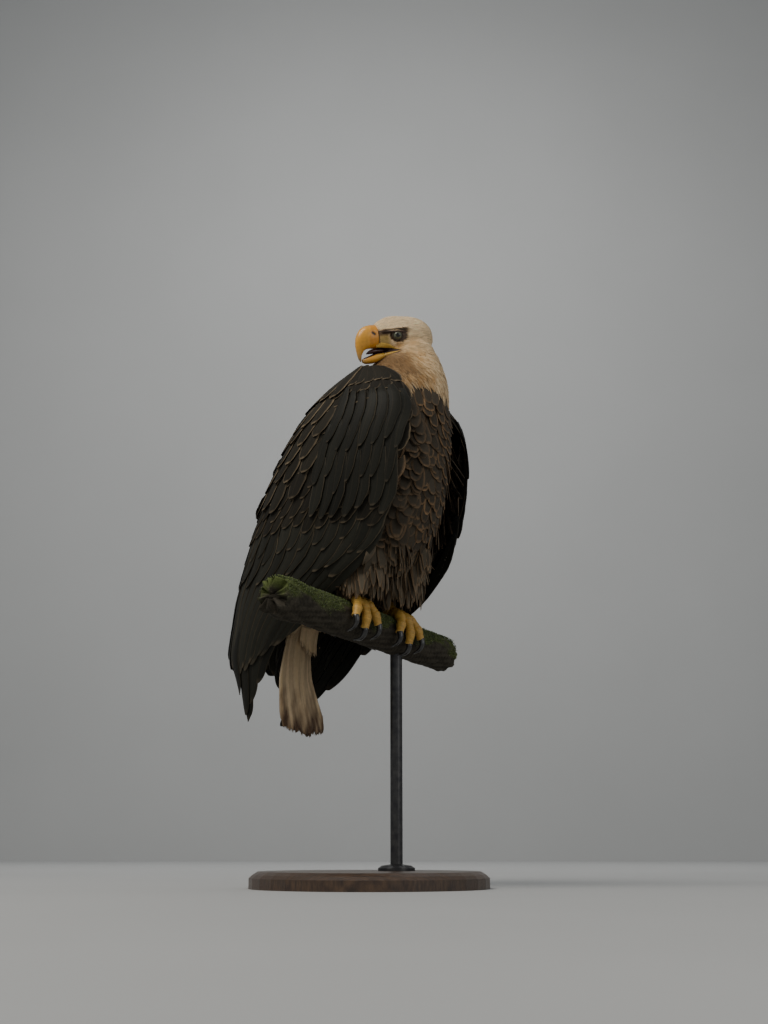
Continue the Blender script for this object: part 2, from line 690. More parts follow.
def laid(roots, ways, lengths, lift, rows):
    """Centre lines that follow the skin from each root and rise off it to the lift at the tip."""
    line = np.empty((len(roots), 3, 3))
    turn = np.empty((len(roots), 3, 3))
    for i, (root, way, length) in enumerate(zip(roots, ways, lengths)):
        spot, normal, _, _ = skin_tree.find_nearest(Vector(root))
        way = Vector(way)
        line[i, 0], turn[i, 0] = spot, normal
        for k in (1, 2):
            spot, normal, _, _ = skin_tree.find_nearest(Vector(line[i, k - 1]) + way * (length / 2))
            line[i, k], turn[i, k] = spot, normal
            way = (spot - Vector(line[i, k - 1])).normalized()
    s = rows_of(rows)[None, :, None]
    weights = (2 * (s - 0.5) * (s - 1), 4 * s * (1 - s), 2 * s * (s - 0.5))
    middle = sum(w * line[:, k, None] for k, w in enumerate(weights))
    first, halfway, last = (turn[:, k, None] for k in range(3))
    normals = unit((1 - s) * (first + 0.5 * halfway) + s * (last + 0.5 * halfway))
    return middle + normals * lift[:, None, None] * s, normals


# %% even random places on the skin
def at(size, points):
    """A size for each point, from one number or from a function of the points."""
    return size(points) if callable(size) else np.full(len(points), size)


DARTS = 3.2                                         # thrown for each place that could fit


def scatter(spacing, mask, seed):
    """Random places on the masked triangles of the skin, none closer than the spacing there."""
    rng = np.random.default_rng(seed)
    a, b, c = (spots[corners[:, k]] for k in range(3))
    area = np.linalg.norm(np.cross(b - a, c - a), axis=1) / 2
    gap = at(spacing, (a + b + c) / 3)
    weight = np.where(mask, area / gap ** 2, 0)
    chosen = rng.choice(len(weight), int(weight.sum() * DARTS), p=weight / weight.sum())
    r, q = np.sqrt(rng.random(len(chosen)))[:, None], rng.random(len(chosen))[:, None]
    points = a[chosen] * (1 - r) + b[chosen] * (r * (1 - q)) + c[chosen] * (r * q)
    keys = np.floor(points / gap[chosen].max()).astype(int)
    cells, kept = {}, []
    for i, (key, point, wide) in enumerate(zip(keys.tolist(), points.tolist(), gap[chosen].tolist())):
        near = (cells.get(cell, ()) for cell in product(*((k - 1, k, k + 1) for k in key)))
        if all(math.dist(point, other) >= wide for cell in near for other in cell):
            cells.setdefault(tuple(key), []).append(point)
            kept.append(i)
    return points[kept]


# %% [markdown]
# ## Wings
# A folded wing is a stack: primaries lowest, secondaries over them, then rows of coverts, and the
# scapulars draping from the back. Each wing's outer face gets a chart, with one number across
# from the leading to the trailing edge and one down from shoulder to tip, so every row is a line
# of roots on the chart and every feather drapes over the wing's own curve.

# %% chart of a wing's outer face
WING_TOP, WING_TIP = 0.395, -0.172                  # heights over the feet
CHART_ROWS, CHART_COLUMNS = 61, 33
LEVEL_HALF = 0.0015                                 # points this near a height belong to it


def wing_chart(name):
    """Points and normals of the chart, and the height and place of the leading edge."""
    sign = 1 if name == "right" else -1
    ahead, side, up = in_bird(solids["wing_" + name][0])
    levels = np.unique(up.round(3))
    levels = levels[[np.sum(np.abs(up - level) < LEVEL_HALF) > 8 for level in levels]]
    ends = []
    for level in levels:
        ring = np.abs(up - level) < LEVEL_HALF
        lead, trail = np.argmax(ahead[ring]), np.argmin(ahead[ring])
        ends.append((level, ahead[ring][lead], sign * side[ring][lead],
                     ahead[ring][trail], sign * side[ring][trail]))
    ends = np.array(ends).T
    heights = np.linspace(WING_TOP, WING_TIP, CHART_ROWS)
    lead_a, lead_s, trail_a, trail_s = (np.interp(heights, ends[0], places) for places in ends[1:])
    chart = np.empty((CHART_ROWS, CHART_COLUMNS, 3))
    for i, height in enumerate(heights):
        centre = (lead_a[i] + trail_a[i]) / 2
        first = math.atan2(lead_s[i], lead_a[i] - centre)
        last = math.atan2(max(trail_s[i], 0.004), trail_a[i] - centre)
        hits = []
        for turn in np.linspace(first + 0.03, last - 0.03, 60):
            out = math.cos(turn) * AHEAD + sign * math.sin(turn) * SIDE
            start = bird(centre, 0, height)
            hit = trees["wing_" + name].ray_cast(Vector(start + 0.4 * out), Vector(-out), 0.4)
            if hit[0] is not None:
                hits.append(hit[0])
        hits = np.array(hits)
        far = np.concatenate([[0], np.cumsum(np.linalg.norm(np.diff(hits, axis=0), axis=1))])
        for k in range(3):
            chart[i, :, k] = np.interp(np.linspace(0, far[-1], CHART_COLUMNS), far, hits[:, k])
    for _ in range(4):
        chart[1:-1] = 0.25 * chart[:-2] + 0.5 * chart[1:-1] + 0.25 * chart[2:]
    normals = unit(np.cross(np.gradient(chart, axis=0), np.gradient(chart, axis=1)))
    if (normals[CHART_ROWS // 3, CHART_COLUMNS // 2] @ SIDE) * sign < 0:
        normals = -normals
    return (chart, normals), ends[:2]


def on_chart(charted, c, t):
    """Point and normal at chart places; past its rim both run on in a straight line."""
    x, y = t * (CHART_ROWS - 1), c * (CHART_COLUMNS - 1)
    i = np.clip(np.floor(x).astype(int), 0, CHART_ROWS - 2)
    j = np.clip(np.floor(y).astype(int), 0, CHART_COLUMNS - 2)
    p, q = (x - i)[..., None], (y - j)[..., None]
    return ((1 - p) * ((1 - q) * g[i, j] + q * g[i, j + 1])
            + p * ((1 - q) * g[i + 1, j] + q * g[i + 1, j + 1]) for g in charted)


leads, charts = {}, {}
for name in ("right", "left"):
    charts[name], leads[name] = wing_chart(name)
    down, across = (np.linalg.norm(np.diff(line, axis=0), axis=1).sum() for line in
                    (charts[name][0][:, CHART_COLUMNS // 2], charts[name][0][CHART_ROWS // 3]))
    print(name, "wing: down", round(float(down), 3), "m, across", round(float(across), 3), "m")


# %% feathers on a chart
def chart_vanes(name, wing, roots, tips, half, outline, tone, edge, lift, tilt, rows, columns,
                made, camber=0.08):
    """Vanes between chart places; lift is (root, tip) over the face, tilt raises the front edge."""
    charted, s = charts[wing], rows_of(rows)
    c = roots[:, 0, None] + (tips[:, 0] - roots[:, 0])[:, None] * s
    t = roots[:, 1, None] + (tips[:, 1] - roots[:, 1])[:, None] * s
    wide = np.linalg.norm(np.diff(charted[0], axis=1), axis=2).sum(1)
    across = np.interp(t * (CHART_ROWS - 1), np.arange(CHART_ROWS), np.maximum(wide, 0.03))
    u = np.linspace(-1, 1, columns)
    width = half * np.maximum(OUTLINES[outline](s), 0.08)
    ragged = 1 + 0.05 * np.sin(picks.uniform(0, 6, len(roots))[:, None] + 19 * s)
    offset = (width * ragged)[:, :, None] * u
    grid, normals = on_chart(charted, c[:, :, None] + offset / across[:, :, None],
                             np.broadcast_to(t[:, :, None], offset.shape))
    normals = unit(normals)
    rise = mix(*lift, s[:, None]) - tilt * u - camber * width[:, None] * u ** 2
    grid = grid + normals * rise[..., None]
    corner = 0.51 if wing == "right" else 0.76      # each wing has its own strip of the map
    patch = np.stack([corner + 0.02 + 0.19 * np.clip(roots[:, 0], 0, 1),
                      0.02 + 0.72 * np.clip(roots[:, 1], 0, 1)], -1)
    tone = tone * (1 + 0.12 * picks.normal(size=(len(roots), 1)))
    edge = edge * picks.uniform(0.45, 1.2, len(roots))
    vanes(name + "_" + wing, grid, normals, tone[:, None, None], edge, patch, made, soften=0.6)


CHORD, DOWN = 0.30, 0.60                            # metres across and down a wing
JITTER = 0.25


def rows_on(t_values, c_from, c_to, pitch, length, slant):
    """Roots in staggered rows and their tips: pitch and length in metres."""
    roots, tips = [], []
    for n, t in enumerate(t_values):
        chord = CHORD * (1 - 0.45 * max(t - 0.35, 0))
        count = max(int((c_to - c_from) * chord / pitch), 2)
        for k in range(count + 1):
            c = c_from + (c_to - c_from) * (k + 0.5 * (n % 2)) / count
            c += JITTER * pitch / chord * picks.uniform(-0.5, 0.5)
            down = t + picks.uniform(-0.3, 0.3) * JITTER * length / DOWN
            roots.append((c, down))
            tips.append((c + slant * length / CHORD * (1 + picks.uniform(-0.4, 0.4)),
                         down + length / DOWN * (1 + picks.uniform(-0.12, 0.12))))
    return np.array(roots), np.array(tips)


# %% rows of wing feathers, lowest first
# name, rows down the wing, from and to across it, pitch, length, slant, half width,
# tone, pale edge, lift at root and tip, tilt, points along a vane, material
COVERTS = (
    ("greater_coverts", (0.39, 0.46), 0.0, 1.0, 0.021, 0.095, 0.10, 0.0165,
     WING_BROWN * 1.05, 0.40, (0.0025, 0.0045), 0.0016, 12, STIFF_LOOK),
    ("median_coverts", np.arange(0.22, 0.39, 0.042), 0.0, 1.0, 0.021, 0.060, 0.10, 0.0155,
     MANTLE * 0.8, 0.50, (0.003, 0.006), 0.0012, 10, SOFT_LOOK),
    ("lesser_coverts", np.arange(0.0, 0.25, 0.036), -0.02, 1.0, 0.0195, 0.046, 0.10, 0.0145,
     MANTLE * 0.8, 0.75, (0.003, 0.0065), 0.0008, 10, SOFT_LOOK),
    # long plain feathers that hang over the front of the folded wing
    ("shoulder_drape", (0.10, 0.20, 0.29), 0.0, 0.36, 0.017, 0.105, -0.02, 0.0125,
     WING_BROWN * 0.8, 0.20, (0.0075, 0.0095), 0.0018, 14, STIFF_LOOK),
    # broad and rounded, over the top of the wing from the back
    ("scapulars", (0.00, 0.055, 0.11, 0.165, 0.22, 0.28), 0.44, 1.08, 0.029, 0.074, 0.06, 0.0190,
     MANTLE * 0.95, 0.85, (0.004, 0.0100), 0.0012, 12, SOFT_LOOK),
)
# the primaries' rounded tips make the wing's stepped end: across, down, millimetres apart
PRIMARY_TIPS = np.array([(0.20, 0.90, -1), (0.36, 0.955, -1), (0.50, 1.005, -1),
                         (0.60, 0.985, 1), (0.68, 0.955, -1), (0.76, 0.925, 3),
                         (0.84, 0.89, 0), (0.92, 0.845, 4), (0.98, 0.815, 7)])
for wing in ("right", "left"):
    n = np.arange(len(PRIMARY_TIPS))
    roots = np.stack([0.10 + 0.082 * n, 0.55 - 0.012 * n], -1)
    apart = PRIMARY_TIPS[:, 2, None, None] * 0.001
    chart_vanes("primaries", wing, roots, PRIMARY_TIPS[:, :2], 0.0145, "blade", WING_BROWN * 0.7,
                0.12, (0.000, apart), 0.0012, 26, 9, STIFF_LOOK)
    # secondaries: one long fan down the back of the wing
    n = np.arange(16)
    roots = np.stack([0.01 + 0.064 * n, 0.44 - 0.004 * n], -1)
    reach = 0.77 + 0.085 * np.sin(n / 15 * math.pi * 0.8) + 0.012 * (n % 2)
    chart_vanes("secondaries", wing, roots, np.stack([0.03 + 0.064 * n, reach], -1), 0.0160, "blade",
                WING_BROWN * 1.1, 0.22, (0.002, 0.001), 0.0022, 22, 9, STIFF_LOOK)
    for name, levels, first, last, pitch, length, slant, half, *rest in COVERTS:
        tone, edge, lift, tilt, rows, made = rest
        roots, tips = rows_on(levels, first, last, pitch, length, slant)
        chart_vanes(name, wing, roots, tips, half, "round", tone, edge, lift, tilt, rows, 7, made)

# %% [markdown]
# ## Tail
# Twelve broad feathers, nearly closed, hang behind the limb and are seen from below. They are
# white, worn and dusky at the tips. Softer coverts overlap their roots on both faces.

# %% tail
TAIL_ROOT, TAIL_TIP = (-0.104, 0.035), (-0.136, -0.196)     # ahead, up
TAIL_DUSK = np.array((0.070, 0.038, 0.023))
RAGGED_BY = 0.00301304348                           # how unevenly the tips are worn


def on_tail(part, out, lift):
    """Place on the tail: part of the way down, out sideways in metres, lift towards the front."""
    sag = 0.012 * np.sin(math.pi * np.clip(part, 0, 1))
    swing = np.interp(part, (0, 0.35, 0.6, 1.0), (0.004, 0.015, 0.009, -0.024))
    return bird(TAIL_ROOT[0] + (TAIL_TIP[0] - TAIL_ROOT[0]) * part - sag + lift, out + swing,
                TAIL_ROOT[1] + (TAIL_TIP[1] - TAIL_ROOT[1]) * part)


def tail_vanes(name, first, reach, spread_root, spread_tip, half, lift, tone, face, outline, dusk):
    """A fan of vanes on one face of the tail; face is 1 for the front, -1 for the back."""
    s = rows_of(18)
    part = first[:, None] + reach[:, None] * s
    out = spread_root[:, None] + (spread_tip - spread_root)[:, None] * s ** 1.6
    line = on_tail(part, out, lift[:, None] * face)
    grid, normals = straight_grid(line, face * AHEAD, half, outline, 9, 0.10)
    ragged = picks.normal(size=grid.shape[:3])[..., None] * (s > 0.93)[:, None, None]
    grid = grid - RAGGED_BY * ragged * UP
    shade = np.clip((s[:, None] - dusk + 0.10 * ripple(grid, 0.020, 5)) * 3.5, 0, 1)
    patch = np.stack([0.53 + 0.40 * (spread_root + 0.07) / 0.14,
                      0.80 + 0.16 * np.clip(first, 0, 1) + 0.02 * (face > 0)], -1)
    vanes(name, grid, normals, mix(tone, TAIL_DUSK, shade * 0.95), 0.0, patch, WHITE_LOOK,
          slot="white_feather")


n = np.linspace(-1, 1, 12)
tail_vanes("tail_feathers", 0.04 + 0 * n, 0.945 - 0.05 * n ** 2 + 0.012 * np.cos(7 * n), 0.014 * n,
           0.056 * n, 0.0165, 0.0030 - 0.0052 * np.abs(n), TAIL_WHITE, 1, "blade", 0.70)
n = np.linspace(-1, 1, 9)
edge = np.abs(n)
tail_vanes("undertail_coverts", 0.02 + 0.06 * edge, 0.40 - 0.10 * edge - 0.03 * n, 0.015 * n,
           0.026 * n - 0.012, 0.013, 0.0125 - 0.004 * edge, TAIL_WHITE * 1.15, 1, "lance", 1.1)
tail_vanes("uppertail_coverts", 0.06 * edge, 0.42 - 0.10 * edge, 0.015 * n, 0.030 * n, 0.013,
           0.0115 - 0.004 * edge, TAIL_WHITE * 1.1, -1, "round", 1.1)

# %% [markdown]
# ## Head, neck and body
# Small feathers root at random but evenly spaced places on the skin. One flow tells each which
# way to lie: back from the bill over the head, slanting down the turned neck, then down and back
# over the breast to the tail. Size grows with distance from the bill, as it does in life.

# %% what the wings and tail already cover
# how near counts as covered: lying under a wing or the tail, or facing a wing
UNDER_WING, UNDER_TAIL, FACING_WING = 0.0058, 0.003, 0.016
middle = spots[corners].mean(1)
covered = np.zeros(len(spots), dtype=bool)
for i, (point, way) in enumerate(zip(spots, ways)):
    place, way = Vector(point), Vector(way)
    for name, sign in (("right", 1), ("left", -1)):
        wing = trees["wing_" + name]
        front = (point - FEET) @ AHEAD > np.interp(point[2] - FEET[2], *leads[name]) - 0.010
        inner = way @ Vector(SIDE) * sign < -0.15
        if wing.find_nearest(place, UNDER_WING)[0] is not None:
            open_air = inner and skin_tree.ray_cast(place + 0.003 * way, way, 0.010)[0] is None
            covered[i] = covered[i] or not (front or open_air)
        elif place.z < FEET[2] + 0.385 and wing.ray_cast(place, way, FACING_WING)[0] is not None:
            covered[i] = True
    if trees["tail"].find_nearest(place, UNDER_TAIL)[0] is not None and point[2] < FEET[2] + 0.02:
        covered[i] = True
covered = covered[corners].sum(1) > 1
m_ahead, m_side, m_up = in_bird(middle)
m_forward, m_left, m_rise = in_skull(middle)
m_head = (m_up > 0.405) & ((length_of(m_forward, m_left, m_rise) < 0.060) | (m_forward > 0.02))
near_eye = (length_of(m_forward - 0.040, m_rise - 0.002) < 0.0108) & (np.abs(m_left) > 0.012)
chin, lores = (np.interp(m_forward, JAW[:, 0], JAW[:, k]) for k in (1, 4))
mouth = (m_forward > JAW[0, 0] - 0.001) & (m_rise > -0.0285)
mouth &= (m_rise > chin - 0.0008) & (m_rise < lores + 0.0004)
bare = near_eye | mouth | ((m_forward > 0.0685) & (m_rise > -0.038))
m_wide = np.abs(m_side)
m_thigh = between(0.015, m_up, 0.135) & (m_wide > 0.018) & (m_ahead > -0.06)


def flow(points):
    """The lie of the feathers: unit directions, not yet laid on the surface."""
    _, side, up = in_bird(points)
    down = -UP - (0.10 + 0.75 * step(0.14, 0.02, up))[:, None] * AHEAD
    down = down + (0.22 * np.clip(side / 0.08, -1, 1))[:, None] * SIDE
    forward, left, rise = in_skull(points)
    back = -BEAK_WAY - (0.25 * step(0.01, -0.02, rise))[:, None] * CROWN_WAY
    back = back + (0.20 * np.clip(left / 0.03, -1, 1) * step(0.03, 0.07, forward))[:, None] * CHEEK_WAY
    way = mix(down, unit(-0.75 * BEAK_WAY - UP), step(0.33, 0.40, up))
    return unit(mix(way, back, step(0.405, 0.445, up)))


def body_vanes(name, gap, mask, seed, length, half, outline, edge, rows, columns, camber, made,
               slot="brown_feather", swing=0.12, stand=1.0, thick=0.00028, soften=0.5):
    """Scattered vanes; gap, length, half and edge are numbers or functions of world points."""
    roots = scatter(gap, mask, seed)
    count = len(roots)
    normal = np.array([skin_tree.find_nearest(Vector(root))[1] for root in roots])
    way = square_to(flow(roots), normal)
    way = unit(way + np.cross(way, normal) * (swing * picks.normal(size=(count, 1))))
    long = at(length, roots) * picks.uniform(0.85, 1.15, count)
    lift = coat_depth(roots) * stand * picks.uniform(0.7, 1.15, count)
    line, normals = laid(roots, way, long, lift, rows)
    grid, normals = straight_grid(line, normals, at(half, roots), outline, columns, camber)
    tone = markings(roots) * (1 + 0.07 * picks.normal(size=(count, 1)))
    tone = face_tone(line, tone[:, None])
    amount = at(edge, roots) * picks.uniform(0.3, 1.3, count)
    vanes(name, grid, normals, tone[:, :, None], amount, body_patch(roots), made, thick, slot, soften)


def grow(first, last, low=0.01, high=0.10):
    """A size that grows from first at the bill to last at the nape."""
    def size(points):
        forward, left, rise = in_skull(points)
        return mix(first, last, step(low, high, length_of(forward - 0.075, left, rise)))
    return size


def over_height(first, last, low, high):
    """A size that goes from first to last between two heights over the feet."""
    return lambda points: mix(first, last, step(low, high, in_bird(points)[2]))


# %% breast, mantle and flanks
NO_WING = 1.0                                       # farther out than any wing lies
on_body = ~covered & (white_part(middle + 0.007 * UP) < 0.05)
body_vanes("mantle_and_breast", 0.0094, on_body & ~m_thigh & (m_up > 0.015), 21,
           over_height(0.042, 0.034, 0.2, 0.35), over_height(0.0118, 0.0104, 0.25, 0.36), "round",
           over_height(0.72, 0.50, 0.12, 0.04), 10, 5, 0.16, RUSTY_LOOK, swing=0.26)
# the flanks are fluffed out to meet the wings, where a wing leaves room for them
flank = (ways[corners].mean(1) @ SIDE) * np.sign(m_side) > 0.30
flank &= between(0.045, m_wide, 0.100) & between(-0.03, m_ahead, 0.13) & between(0.09, m_up, 0.34)
air = np.full((2, len(middle)), NO_WING)
for i in np.flatnonzero(flank):
    wing = trees["wing_right" if m_side[i] > 0 else "wing_left"]
    for k, drop in enumerate((0.0, 0.045)):         # at the root and at the tip below it
        hit = wing.ray_cast(Vector(middle[i] - drop * UP), Vector(np.sign(m_side[i]) * SIDE), 0.09)
        air[k, i] = NO_WING if hit[0] is None else hit[3]
flank &= air[0] < NO_WING
for layer, (stand, room) in enumerate(((2.4, 0.024), (3.6, 0.034))):
    body_vanes(f"flank_feathers_{layer}", 0.0100, flank & (air.min(0) > room), 31 + layer, 0.044,
               0.0125, "round", 0.40, 10, 5, 0.16, RUSTY_LOOK, swing=0.2, stand=stand)

# %% thighs, vent, neck and head
body_vanes("thigh_feathers", 0.0072, on_body & m_thigh & (m_wide < 0.098), 22, 0.042, 0.0082,
           "soft", 0.6, 9, 5, 0.20, RUSTY_LOOK, swing=0.2, stand=1.1)
body_vanes("vent_feathers", 0.0080, ~covered & (m_up <= 0.03) & (m_up > -0.05), 23, 0.038, 0.0072,
           "round", 0.0, 8, 3, 0.3, WHITE_LOOK, "white_feather")
body_vanes("neck_hackles", 0.0026, ~covered & ~m_head & (white_part(middle) > 0.5), 24, 0.031,
           0.0030, "lance", 0.0, 8, 3, 0.15, WHITE_LOOK, "white_feather", 0.10, 0.40, 0.00012, 0.88)
body_vanes("head_feathers", grow(0.00115, 0.0026), ~covered & m_head & ~bare, 25,
           grow(0.0046, 0.021), grow(0.0012, 0.0029), "lance", 0.0, 6, 3, 0.12, WHITE_LOOK,
           "white_feather", 0.12, 0.42, 0.00011, 0.88)

# %% shoulders and trousers
# mantle feathers floor the furrow between the neck's base and the top of each wing
where, sign, row = (g.ravel() for g in np.meshgrid(np.linspace(0.008, 0.074, 10), (1, -1), (0, 1, 2)))
where = where + 0.0025 * row + picks.normal(size=len(where)) * 0.0015
s = rows_of(9)[None, :]
line = bird(where[:, None] - 0.010 * s, sign[:, None] * (0.044 + 0.002 * row[:, None] + 0.037 * s),
            0.3830 + 0.0015 * row[:, None] - 0.003 * s)
over = unit(UP + 0.15 * sign[:, None] * SIDE)[:, None]
vanes("mantle_bridge", *straight_grid(line, over, 0.0100, "round", 5, 0.12), MANTLE * 1.2, 0.7,
      body_patch(line[:, 0]), SOFT_LOOK)

# trousers: long soft feathers that hang from the thighs over the shanks
ragged = 0.104 + 0.016 * ripple(middle, 0.035, 9)
roots = scatter(0.0045, on_body & m_thigh & (m_up < ragged) & (m_wide < 0.094), 26)
ahead, side, up = in_bird(roots)
out = unit(bird(ahead, side, 0) - bird(-0.004, np.sign(side) * 0.054, 0))     # from the shank
fall = np.minimum(up - picks.uniform(0.004, 0.034, len(up)), mix(0.072, 0.040, step(0.05, 0.10, up)))
s = rows_of(9)[None, :, None]
sway = AHEAD * 0.004 * picks.normal(size=(len(up), 1, 1)) + SIDE * 0.003 * np.sign(side)[:, None, None]
line = roots[:, None] + out[:, None] * 0.005 * np.sin(s * 2.4) - fall[:, None, None] * s * UP + sway * s
facing_out = unit(out + 0.18 * picks.normal(size=out.shape))[:, None]
half = picks.uniform(0.0044, 0.0070, len(roots))
tone = markings(roots) * (1 + 0.16 * picks.normal(size=(len(roots), 1)))
vanes("trousers", *straight_grid(line, facing_out, half, "soft", 5, 0.16), tone[:, None, None], 0.5,
      body_patch(roots), RUSTY_LOOK, 0.0002, soften=0.6)

# %% [markdown]
# ## The face
# A face is read before anything else, so its parts are separate pieces at their own fineness:
# eyeballs with a wet dome, rolled lids, a brow that shades the eye, the yellow gape that runs
# back under the eye, and a bill lofted through a few measured sections.

# %% smooth shapes from few numbers
def read(places, values, x):
    """Smooth curve through values at rising places; values may be vectors."""
    places, values = np.asarray(places, float), np.asarray(values, float)
    slopes = np.gradient(values, places, axis=0)
    i = np.clip(np.searchsorted(places, x) - 1, 0, len(places) - 2)
    wide = places[i + 1] - places[i]
    t = (x - places[i]) / wide
    if values.ndim > 1:
        t, wide = t[:, None], wide[:, None]
    return ((2 * t ** 3 - 3 * t ** 2 + 1) * values[i] + (t ** 3 - 2 * t ** 2 + t) * wide * slopes[i]
            + (3 * t ** 2 - 2 * t ** 3) * values[i + 1] + (t ** 3 - t ** 2) * wide * slopes[i + 1])


def ring_mesh(name, shapes, closed_ends=True):
    """One mesh through the rings of points (ring, place, 3) of each shape."""
    faces, start = [], 0
    for rings in shapes:
        here = start + np.arange(rings[..., 0].size).reshape(rings.shape[:2])
        after = np.roll(here, -1, axis=1)
        quads = np.stack([here[:-1], after[:-1], after[1:], here[1:]], -1)
        faces += quads.reshape(-1, 4).tolist()
        if closed_ends:
            faces += [here[0, ::-1].tolist(), here[-1].tolist()]
        start += here.size
    mesh = bpy.data.meshes.new(name)
    points = np.concatenate([rings.reshape(-1, 3) for rings in shapes])
    mesh.from_pydata(points.tolist(), [], faces)
    return mesh


def shell(name, rings, colours, made, closed_ends=True):
    """One closed piece through rings, painted in one colour or in one for every point."""
    mesh = ring_mesh(name, [rings], closed_ends)
    shape = bmesh.new()
    shape.from_mesh(mesh)
    bmesh.ops.recalc_face_normals(shape, faces=shape.faces[:])
    shape.to_mesh(mesh)
    shape.free()
    paint(mesh, np.broadcast_to(colours, rings.shape))
    return finished(put(name, mesh), made)


def rings_round(line, across, other, sides):
    """A ring of points round each place of a line; across and other are its half axes."""
    turn = circle(sides)[:, None]
    across, other = (np.broadcast_to(way, line.shape)[:, None] for way in (across, other))
    return line[:, None] + np.cos(turn) * across + np.sin(turn) * other


def tube_rings(points, radii, hint, count, sides, flat=1.0):
    """Rings of a smooth bar through points; hint lies across it, flat thins the other way."""
    places = np.linspace(0, 1, len(points))
    x = np.linspace(0, 1, count)
    line = read(places, points, x)
    wide = read(places, radii, x)
    along = unit(np.gradient(line, axis=0))
    across = wide[:, None] * square_to(hint, along)
    return rings_round(line, across, flat * np.cross(along, across), sides)


def painted(name, roughness, sockets, grain_size, grain_depth, mottle=0.15, detail=5):
    """Material that shows its piece's painted tone, with fine grain and slight mottling."""
    made = look(name, roughness, sockets)
    field = grain(made, grain_size, detail)
    mottled(made, field, (1 - mottle,) * 3)
    if grain_depth:
        bump(made, field, grain_depth)
    return made


# %% eyes and lids
EYE_PLACE, EYE_R = (0.040, 0.0235, 0.002), 0.0100
eye_look = painted("wet eye", 0.25, {"Coat Weight": 0.6, "Coat Roughness": 0.02,
                                     "Specular IOR Level": 0.3}, 0.0012, 0)
lid_look = painted("lid skin", 0.55, {"Specular IOR Level": 0.35}, 0.0006, 0.0002)
LID_TONE, PUPIL, BALL_DARK = np.array(((0.060, 0.040, 0.026), (0.004,) * 3, (0.02, 0.014, 0.01)))
IRIS, IRIS_RIM = np.array(((0.105, 0.110, 0.066), (0.10, 0.09, 0.05)))
for name, sign in (("eye_left", 1), ("eye_right", -1)):
    centre = skull(EYE_PLACE[0], sign * EYE_PLACE[1], EYE_PLACE[2])
    gaze = unit(0.93 * sign * CHEEK_WAY + 0.33 * BEAK_WAY)
    top = square_to(CROWN_WAY, gaze)
    fore = np.cross(top, gaze) * sign
    polar, turn = np.linspace(0.004, math.pi - 0.004, 70), circle(64)
    radius = (EYE_R - 0.0003) + 0.0009 * np.exp(-(polar / 0.55) ** 4)
    depth, wide = ((radius * way(polar))[:, None] for way in (np.cos, np.sin))
    rings = rings_round(centre + depth * gaze, wide * top, wide * fore, len(turn))
    out = wide * 1000 + 0 * turn                    # millimetres from the middle of the pupil
    fibre = 0.10 * np.sin(23 * turn + 2 * np.sin(5 * turn)) + 0.06 * np.sin(51 * turn)
    iris = IRIS * (1 + fibre)[None, :, None] * mix(0.75, 1.1, step(3.0, 5.2, out))[..., None]
    iris = mix(iris, IRIS_RIM, step(6.3, 7.3, out))
    colours = layered(PUPIL, (iris, step(3.3, 3.6, out)), (BALL_DARK, step(7.2, 7.6, out)))
    colours = np.where((polar > 1.4)[:, None, None], 0.02, colours)
    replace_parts(shell(name + "_ball", rings, colours, eye_look), name)
    # lids: a rolled rim on the ball, flatter above where the brow presses
    rim = circle(72)[:, None]
    above, below = (np.maximum(side * np.cos(rim), 0) ** 2 for side in (1, -1))
    open_to = 0.0076 * (1 - 0.27 * above - 0.05 * below)
    height = np.sqrt((EYE_R + 0.0001) ** 2 - open_to ** 2)
    ring_way = np.cos(rim) * top + np.sin(rim) * fore * 1.06
    slope = unit(ring_way * height - gaze * open_to)
    base = ring_way * open_to + gaze * height
    rings = rings_round(centre + base + slope * 0.0008, 0.0013 * slope, 0.0006 * unit(base), 14)
    shell("lids_" + name, np.concatenate([rings, rings[:1]]), LID_TONE, lid_look, False)

# %% brow and gape
gape_look = painted("yellow skin", 0.42, {"Specular IOR Level": 0.5, "Subsurface Weight": 0.05},
                    0.0011, 0.00025)
brow_look = painted("brow", 0.75, {}, 0.0008, 0.0004)
GAPE = np.array((0.58, 0.34, 0.050))


def face_out(forward, rise, sign):
    """How far out the skin of one cheek lies at places on its side."""
    out = []
    for f, r in zip(*np.broadcast_arrays(forward, rise)):
        hit = skin_tree.ray_cast(Vector(skull(f, sign * 0.08, r)), Vector(-sign * CHEEK_WAY), 0.078)[0]
        out.append(abs(float(in_skull(np.array(hit))[1])) if hit else 0.0)
    return np.maximum(out, 0.0128)


for name, sign in (("left", 1), ("right", -1)):
    path = np.array([(0.068, 0.0122, 0.0110), (0.058, 0.0194, 0.0098), (0.047, 0.0274, 0.0086),
                     (0.036, 0.0308, 0.0078), (0.025, 0.0330, 0.0060)])
    points = skull(path[:, 0], sign * path[:, 1], path[:, 2])
    rings = tube_rings(points, (0.0012, 0.0024, 0.0030, 0.0028, 0.0008), sign * CHEEK_WAY, 60, 24, 0.85)
    rise = (rings - rings.mean(1)[:, None]) @ CROWN_WAY
    tones = mix(BROW_BROWN, CREAM * 0.8, step(0.0012, 0.0024, rise))
    shell("brow_" + name, rings, tones, brow_look)
    # the yellow flesh of the upper jaw, back to the corner of the mouth under the eye
    forward, low, high = read(np.linspace(0, 1, len(JAW)), JAW[:, [0, 3, 4]], np.linspace(0, 1, 60)).T
    tuck = mix(0.0004, -0.0030, step(0.066, 0.0735, forward))
    upper, lower = (skull(forward, sign * (face_out(forward, rise, sign) + tuck), rise)
                    for rise in (high, low))
    rings = rings_round((upper + lower) / 2, (upper - lower) / 2, 0.0012 * sign * CHEEK_WAY, 32)
    fade = mix(GAPE * 0.75, GAPE, step(0.043, 0.054, forward))[:, None]
    shell("gape_" + name, rings, fade, gape_look)

